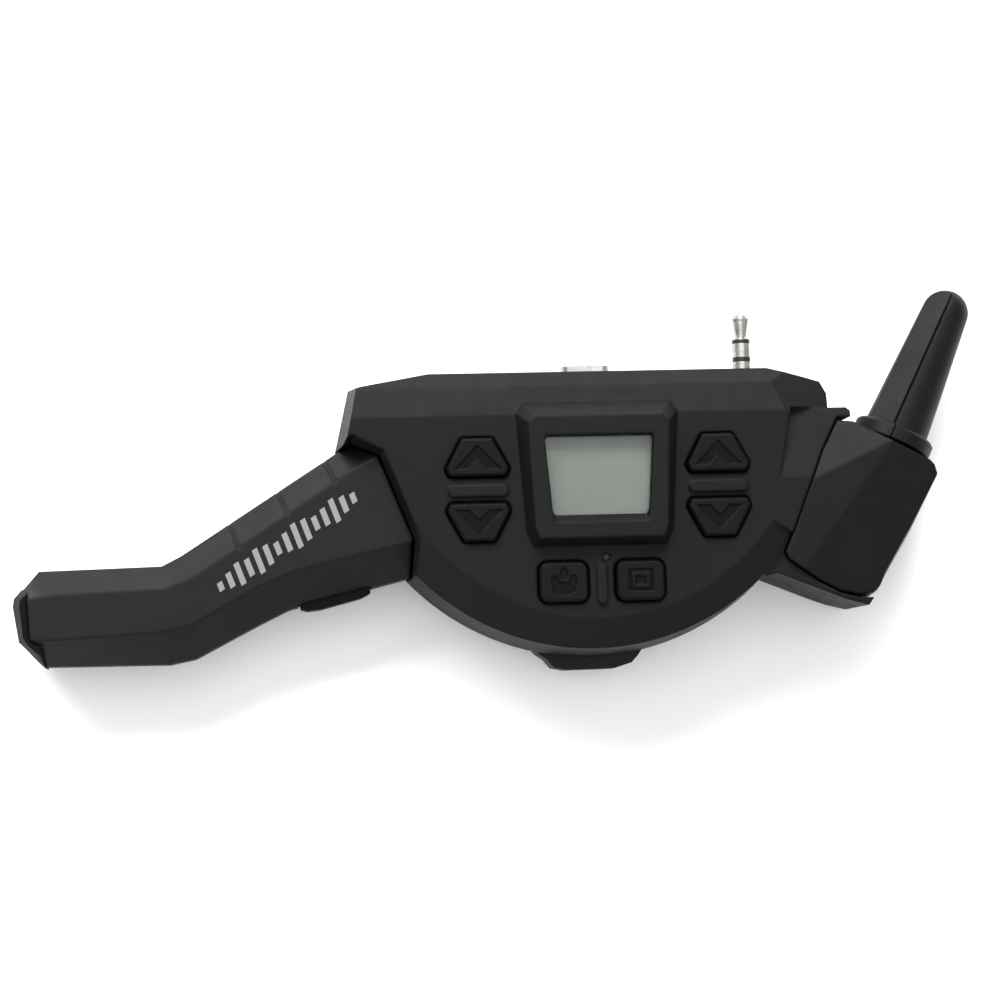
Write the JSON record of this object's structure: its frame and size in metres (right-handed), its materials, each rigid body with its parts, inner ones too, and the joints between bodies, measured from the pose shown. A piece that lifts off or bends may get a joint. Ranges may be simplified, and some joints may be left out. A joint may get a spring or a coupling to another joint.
{
  "type": "electronic game caller remote",
  "caption": "Hand-held remote of an electronic game caller: half-round keypad case with display, offset side grip with trigger, plug, and radio housing with stub aerial.",
  "frame": {"origin": "on the flat back, below the middle of the display", "axes": "+Z out of the front face with the display, +Y to the edge with the plug, +X to the aerial, -X to the grip"},
  "size_m": [0.1836, 0.0713, 0.029],
  "materials": {
    "case_plastic": "matt soft-touch charcoal",
    "grip_plastic": "matt soft-touch charcoal",
    "cap_rubber": "matt",
    "door_plastic": "matt",
    "housing_plastic": "matt soft-touch charcoal",
    "aerial_rubber": "matt",
    "key_rubber": "matt, smooth",
    "seal_rubber": "matt",
    "window_clear": "clear",
    "display_glass": "pale grey-green, satin",
    "frame_plastic": "white",
    "light_pipe_clear": "smoked, clear",
    "board_green": "solder resist",
    "switch_black": "moulded",
    "screw_steel": "black zinc",
    "nickel": "bright nickel plate",
    "spring_steel": "drawn wire",
    "cell_label": "printed sleeve",
    "rod_brass": "drawn",
    "lead_black": "insulation"
  },
  "bodies": {
    "case": {"front_shell": "case_plastic", "rear_shell": "case_plastic", "grip_front_shell": "grip_plastic", "grip_rear_shell": "grip_plastic", "grip_end_cap": "cap_rubber", "radio_front_shell": "housing_plastic", "radio_rear_shell": "housing_plastic", "aerial_left_half": "aerial_rubber", "aerial_right_half": "aerial_rubber", "shell_seal": "seal_rubber", "display_window": "window_clear", "display_panel": "display_glass", "display_frame": "frame_plastic", "usb_tongue": "frame_plastic", "light_pipe": "light_pipe_clear", "main_board": "board_green", "radio_board": "board_green", "key_switches": "switch_black", "trigger_switch": "switch_black", "jack_body": "switch_black", "jack_insulators": "switch_black", "case_screws": "screw_steel", "board_screws": "screw_steel", "grip_screws": "screw_steel", "radio_screws": "screw_steel", "jack_tip": "nickel", "jack_rings": "nickel", "jack_sleeve": "nickel", "usb_shell": "nickel", "battery_springs": "nickel", "battery_plates": "nickel", "latch_spring": "spring_steel", "trigger_spring": "spring_steel", "door_pin": "spring_steel", "battery_cells": "cell_label", "aerial_rod": "rod_brass", "aerial_lead": "lead_black", "trigger_lead": "lead_black"},
    "left_up_key": {"left_up_key": "key_rubber"},
    "left_down_key": {"left_down_key": "key_rubber"},
    "right_up_key": {"right_up_key": "key_rubber"},
    "right_down_key": {"right_down_key": "key_rubber"},
    "track_key": {"track_key": "key_rubber"},
    "square_key": {"square_key": "key_rubber"},
    "trigger": {"trigger": "cap_rubber"},
    "battery_door": {"battery_door": "door_plastic"},
    "battery_latch": {"battery_latch": "cap_rubber"}
  },
  "joints": [
    {"name": "left_up_press", "type": "slide", "parent": "case", "child": "left_up_key", "axis": [0, 0, -1], "range_m": [0, 0.0007], "stiffness_N_per_m": 600},
    {"name": "left_down_press", "type": "slide", "parent": "case", "child": "left_down_key", "axis": [0, 0, -1], "range_m": [0, 0.0007], "stiffness_N_per_m": 600},
    {"name": "right_up_press", "type": "slide", "parent": "case", "child": "right_up_key", "axis": [0, 0, -1], "range_m": [0, 0.0007], "stiffness_N_per_m": 600},
    {"name": "right_down_press", "type": "slide", "parent": "case", "child": "right_down_key", "axis": [0, 0, -1], "range_m": [0, 0.0007], "stiffness_N_per_m": 600},
    {"name": "track_press", "type": "slide", "parent": "case", "child": "track_key", "axis": [0, 0, -1], "range_m": [0, 0.0007], "stiffness_N_per_m": 600},
    {"name": "square_press", "type": "slide", "parent": "case", "child": "square_key", "axis": [0, 0, -1], "range_m": [0, 0.0007], "stiffness_N_per_m": 600},
    {"name": "trigger_press", "type": "slide", "parent": "case", "child": "trigger", "axis": [-0.2284, 0.9736, 0], "range_m": [0, 0.001], "stiffness_N_per_m": 500},
    {"name": "door_hinge", "type": "hinge", "parent": "case", "child": "battery_door", "pos_m": [0, 0.015, 0.0013], "axis": [1, 0, 0], "range_deg": [0, 95]},
    {"name": "latch_slide", "type": "slide", "parent": "case", "child": "battery_latch", "axis": [0, 1, 0], "range_m": [0, 0.0013], "stiffness_N_per_m": 400}
  ]
}
